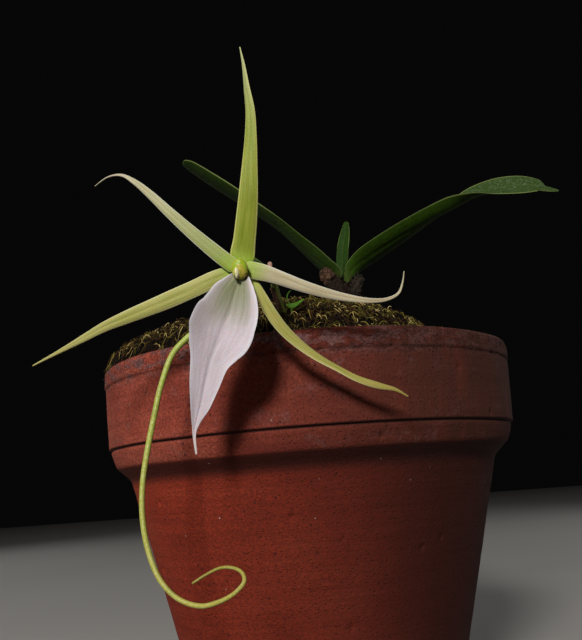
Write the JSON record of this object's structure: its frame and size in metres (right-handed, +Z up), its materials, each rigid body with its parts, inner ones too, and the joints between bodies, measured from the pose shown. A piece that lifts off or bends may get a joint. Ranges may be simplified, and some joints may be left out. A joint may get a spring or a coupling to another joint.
{
  "type": "potted angraecum humbertii orchid",
  "caption": "Angraecum humbertii orchid in flower, with its long spur, growing from moss in a banded clay flower pot.",
  "frame": {"origin": "middle of the pot's flat bottom", "axes": "+Z up along the pot's axis, -Y towards the viewer whom the flower faces, +X to the viewer's right"},
  "size_m": [0.1824, 0.1823, 0.2417],
  "materials": {
    "clay": "matte",
    "bark": "matte",
    "moss": "matte",
    "old_sheath": "matte",
    "paper_sheath": "matte",
    "grey_sheath": "matte",
    "leaf": "satin",
    "young_leaf": "satin",
    "sprig": "satin",
    "stalk": "matte",
    "ovary": "satin",
    "sepal": "satin",
    "petal": "satin",
    "lip": "satin",
    "spur": "satin",
    "column": "satin",
    "anther_cap": "satin"
  },
  "bodies": {
    "root": {"pot": "clay", "growing_medium": "bark", "moss": "moss", "stem": "old_sheath", "sheath_left": "paper_sheath", "sheath_right": "grey_sheath", "leaf_left": "leaf", "leaf_right": "leaf", "leaf_centre": "young_leaf", "sprig": "sprig", "flower_stalk": "stalk", "bract": "paper_sheath", "ovary": "ovary", "sepal_top": "sepal", "sepal_left": "sepal", "sepal_right": "sepal", "petal_left": "petal", "petal_right": "petal", "lip": "lip", "spur": "spur", "column": "column", "anther_cap": "anther_cap"}
  },
  "joints": []
}
